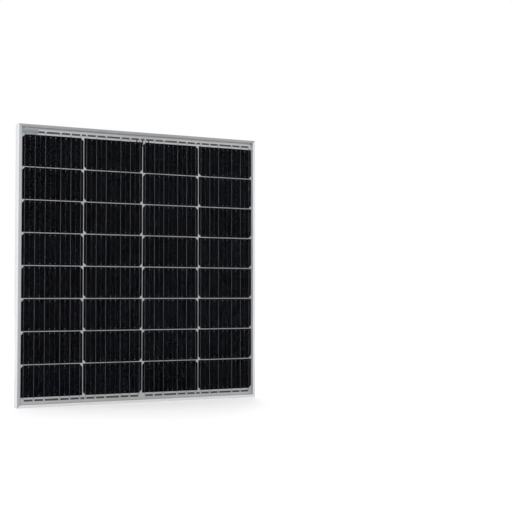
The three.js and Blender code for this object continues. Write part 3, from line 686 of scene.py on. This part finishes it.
# Inside are three tinned brass terminals, two bypass diodes between them, and the seals.
brass = grained(
    "terminal_metal", rgb(150, 146, 132), rgb(190, 186, 172), 0.34, 600, Metallic=0.85)
diode = grained("diode_body", rgb(20, 20, 22), rgb(34, 34, 36), 0.4, 900)
rubber = grained("black_rubber", rgb(20, 20, 21), rgb(34, 34, 36), 0.72, 1400, 0.4)
for name in ("minus", "middle", "plus"):
    paint(f"terminal_{name}", brass)
for name in ("left", "right"):
    paint(f"bypass_diode_{name}", diode)
for name in ("gland_seal_plus", "gland_seal_minus", "female_cable_seal", "male_cable_seal"):
    paint(name, rubber)


# ---- gland nuts ----------------------------------------------------------------------
# Two grey moulded nuts, with fine grip ribs, squeeze a rubber seal onto each lead. They turn
# on the box's spigots.
nut_plastic = grained("grey_plastic", rgb(84, 86, 90), rgb(112, 114, 118), 0.42, 1100)


def lathed(profile, sides):
    """A closed turned shape about the X axis, from its (x, radius) points in millimetres."""
    shape = bmesh.new()
    verts = [shape.verts.new((x * MM, 0, radius * MM)) for x, radius in profile]
    edges = [shape.edges.new(pair) for pair in zip(verts, verts[1:] + verts[:1])]
    bmesh.ops.spin(
        shape, geom=verts + edges, cent=(0, 0, 0), axis=(1, 0, 0), dvec=(0, 0, 0),
        angle=math.tau, steps=sides, use_merge=True, use_duplicate=False)
    bmesh.ops.remove_doubles(shape, verts=shape.verts, dist=0.0001 * MM)
    bmesh.ops.recalc_face_normals(shape, faces=shape.faces)
    return shape


def rib_up(shape, low, high, every, keep, height):
    """Raises the outer faces between two X places, keep out of every so many of them."""
    outer = [
        face for face in shape.faces
        if low * MM < face.calc_center_median().x < high * MM
        and face.normal.dot(face.calc_center_median() * Vector((0, 1, 1))) > 0]
    outer.sort(key=lambda face: math.atan2(
        face.calc_center_median().z, face.calc_center_median().y))
    chosen = [face for index, face in enumerate(outer) if index % every < keep]
    for face in bmesh.ops.extrude_discrete_faces(shape, faces=chosen)["faces"]:
        bmesh.ops.translate(shape, verts=face.verts, vec=face.normal * height * MM)


def put_along(shape, place, direction):
    """Turns a shape from the X axis to a direction in the panel's plane, and places it."""
    turn = Matrix.Rotation(-math.atan2(direction.z, direction.x), 4, "Y")
    bmesh.ops.transform(shape, matrix=Matrix.Translation(place) @ turn, verts=shape.verts)
    return shape


nut_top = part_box("gland_nut_plus")[1][2]
nut_start = 0.5
bore = 2.9
for sign, side in (("plus", 1), ("minus", -1)):
    nut = lathed([
        (nut_start, 5.4), (nut_start, 6.1), (0.9, 6.3), (2.0, 6.3), (2.2, 5.9), (2.5, 5.9),
        (11.0, 5.9), (11.6, 5.6), (12.5, 4.9), (13.0, 4.2), (13.0, bore), (10.0, bore),
        (10.0, 5.4)], sides=48)
    rib_up(nut, 2.6, 10.9, every=2, keep=1, height=0.5)
    place = Vector((
        side * gland_offset * MM, sheet_back + gland_height * MM,
        nut_top + nut_start * MM))
    put_along(nut, place, Vector((0, 0, -1)))
    cap = made(nut, f"gland_cap_{sign}", nut_plastic, f"gland_nut_{sign}", 30)
    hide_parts(f"gland_nut_{sign}")


# ---- connectors ----------------------------------------------------------------------
# Black moulded plugs on the leads' ends: a housing with a turning compression nut, a rubber
# seal and a crimped contact. One is a socket and one has a barrel, a red ring and two latches.
connector_plastic = grained(
    "connector_plastic", rgb(24, 24, 26), rgb(38, 38, 41), 0.46, 1300, 0.3)
contact_metal = grained(
    "contact_metal", rgb(150, 146, 136), rgb(200, 196, 186), 0.3, 700, Metallic=0.9)
red_rubber = grained("red_rubber", rgb(118, 44, 44), rgb(150, 66, 64), 0.6, 1300, 0.3)


# Places on the connectors are millimetres from the point where the lead goes in.
def connector_nut():
    nut = lathed([
        (0.3, bore), (0.3, 4.0), (0.6, 4.3), (4.8, 6.1), (5.3, 6.5), (8.2, 7.75), (9.0, 7.8),
        (19.6, 7.8), (20.2, 8.1), (21.5, 8.1), (22.0, 7.65), (22.0, 6.5), (11.0, 6.5),
        (5.0, 5.0), (5.0, bore)], sides=36)
    rib_up(nut, 9.1, 19.5, every=3, keep=2, height=0.42)
    return nut


def shell(profile):
    """A housing: the bore and the collar that both kinds share, and then its own profile."""
    return lathed([
        (11.5, bore), (11.5, 6.0), (22.5, 6.0), (22.5, 6.8), (22.8, 7.1), *profile], sides=48)


def place_connector(sign, shape, name, finish, body, node):
    lead = leads[sign]
    piece = made(
        put_along(shape, lead["entry"], lead["direction"]), name, finish, body, 30)
    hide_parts(node)
    return piece


# The socket has two windows through its wall, which the other connector's latches snap into.
window_start, window_end = 38.0, 44.0
window_half_angle = 20
female = shell([
    (36.0, 7.1), (36.4, 6.8), (37.0, 6.8), (37.4, 7.1), (window_start, 7.1),
    (window_end, 7.1), (48.8, 7.1), (49.8, 7.75), (53.5, 7.75), (54.0, 7.3), (54.0, 4.9),
    (window_end, 4.9), (window_start, 4.9), (30.0, 4.9), (30.0, bore)])
rib_up(female, 24.0, 35.5, every=4, keep=2, height=0.3)
for side in (-1, 1):
    window = []
    for face in female.faces:
        centre = face.calc_center_median()
        angle = math.degrees(math.atan2(centre.y, centre.z * side))
        if (window_start * MM < centre.x < window_end * MM
                and abs(angle) < window_half_angle):
            window.append(face)
    bmesh.ops.delete(female, geom=window, context="FACES")
    rims = [edge for edge in female.edges if edge.is_boundary]
    bmesh.ops.bridge_loops(female, edges=rims)
housing = place_connector(
    "plus", female, "socket_housing", connector_plastic, "root",
    "female_connector_housing")
female_nut = place_connector(
    "plus", connector_nut(), "socket_nut", connector_plastic, "female_nut",
    "female_connector_nut")
plus_pieces = [housing, female_nut]

# The plug's latches are two flat arms, each with a hook at its end that points outwards.
male = shell([
    (36.4, 7.1), (37.0, 6.6), (37.0, 3.1), (54.4, 3.1), (55.0, 2.7), (55.0, 2.1), (30.0, 2.1),
    (30.0, bore)])
rib_up(male, 24.0, 35.5, every=4, keep=2, height=0.3)
for side in (-1, 1):
    for start, rise, edge in ((33, 6.6, 0.3), (45.5, 7.8, 0.4)):
        low, high = sorted((side * 5.2, side * rise))
        bar_block(
            male, (start * MM, -2.5 * MM, low * MM),
            (49 * MM, 2.5 * MM, high * MM), edge * MM)
plug = place_connector(
    "minus", male, "plug_housing", connector_plastic, "root",
    "male_connector_housing")
male_nut = place_connector(
    "minus", connector_nut(), "plug_nut", connector_plastic, "male_nut",
    "male_connector_nut")
ring = place_connector(
    "minus", lathed([
        (37.4, 3.4), (37.4, 4.3), (37.9, 4.7), (39.7, 4.7), (40.2, 4.3), (40.2, 3.4)], sides=36),
    "plug_ring", red_rubber, "root", "male_seal_ring")
minus_pieces = [plug, male_nut, ring]
for name, pieces in (("female", plus_pieces), ("male", minus_pieces)):
    paint(f"{name}_contact", contact_metal)
    pieces.extend(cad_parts[f"{name}_{inner}"] for inner in ("contact", "cable_seal"))


# ---- sleeve and ties -----------------------------------------------------------------
# A short black rubber sleeve holds the leads together at the foot of their loop, next to a
# narrow white marker band. Two thin nylon ties with long tails hold the crossings.
sleeve = made(
    softened("lead_sleeve", 0.7 * MM, 20), "pair_sleeve", rubber,
    smooth_angle=60)
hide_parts("lead_sleeve")
plus_pieces.append(sleeve)
marker_tape = grained("marker_tape", rgb(214, 216, 218), rgb(232, 233, 234), 0.5, 500)
marker = made(
    softened("marker_band", 0.2 * MM, 20), "pair_marker", marker_tape,
    smooth_angle=60)
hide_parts("marker_band")
plus_pieces.append(marker)
nylon = grained("tie_nylon", rgb(70, 72, 75), rgb(98, 100, 103), 0.45, 900)
for number in (1, 2):
    tie = made(
        softened(f"cable_tie_{number}", 0.25 * MM), f"nylon_tie_{number}", nylon)
    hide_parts(f"cable_tie_{number}")
    plus_pieces.append(tie)


# ---- labels --------------------------------------------------------------------------
# A printed blue-grey film with rows of plain marks and a ruled box, and a small white sticker
# over it. Neither carries any wording. Places on the film are shares of its width and
# height.
label_low, label_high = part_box("rating_label")
label = Finish("label_film")
across_label = (label.axis("X") - label_low[0]) / (label_high[0] - label_low[0])
up_label = (label.axis("Z") - label_low[2]) / (label_high[2] - label_low[2])
line_count = 26
lines_up = up_label * line_count
in_line = abs(lines_up.fraction() - 0.5) < 0.24
line_number = lines_up.whole()
marks_across = 46
line_shift = 7.3
mark_place = label.node(
    "ShaderNodeCombineXYZ",
    sockets={0: across_label * marks_across, 1: line_number * line_shift})
marks = label.node(
    "ShaderNodeTexNoise", {"noise_dimensions": "2D"},
    {"Vector": mark_place, "Scale": 1.0, "Detail": 1.0}) > 0.47
margin_mask = (abs(across_label - 0.5) < 0.43) * (abs(up_label - 0.53) < 0.3)
column_gap = abs(across_label - 0.6) > 0.04
panel_band = abs(up_label - 0.9) < 0.055
foot_band = abs(up_label - 0.085) < 0.045
rules = ((abs(up_label - 0.2) < 0.004) + (abs(up_label - 0.83) < 0.004)) * (
    abs(across_label - 0.5) < 0.45)
sheen = label.noise(40, 3)
paper = label.mix(sheen, rgb(152, 165, 180), rgb(168, 180, 192))
typed = label.mix(in_line * marks * margin_mask * column_gap * 0.3, paper, rgb(84, 94, 108))
banded = label.mix(
    (panel_band * (abs(across_label - 0.5) < 0.42)) * 0.3, typed, rgb(96, 108, 124))
footed = label.mix(
    foot_band * (abs(across_label - 0.5) < 0.45) * 0.5, banded, rgb(196, 204, 213))
paint("rating_label", label.surface(
    Base_Color=label.mix(rules.at_most(1) * 0.5, footed, rgb(84, 94, 108)),
    Roughness=0.34 + sheen * 0.15, Coat_Weight=0.15))

sticker = Finish("sticker_film")
sticker_middle = [(a + b) / 2 for a, b in zip(*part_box("small_sticker"))]
stripe = (sticker.noise(800, 0, (1, 0, 0)) > 0.5) * (
    abs(sticker.axis("Z") - sticker_middle[2]) < 3 * MM) * (
    abs(sticker.axis("X") - sticker_middle[0]) < 19 * MM)
gloss = sticker.noise(60, 2)
paint("small_sticker", sticker.surface(
    Base_Color=sticker.mix(
        stripe * 0.4, sticker.mix(gloss, rgb(214, 217, 220), rgb(228, 230, 232)),
        rgb(110, 114, 120)),
    Roughness=0.35 + gloss * 0.15))
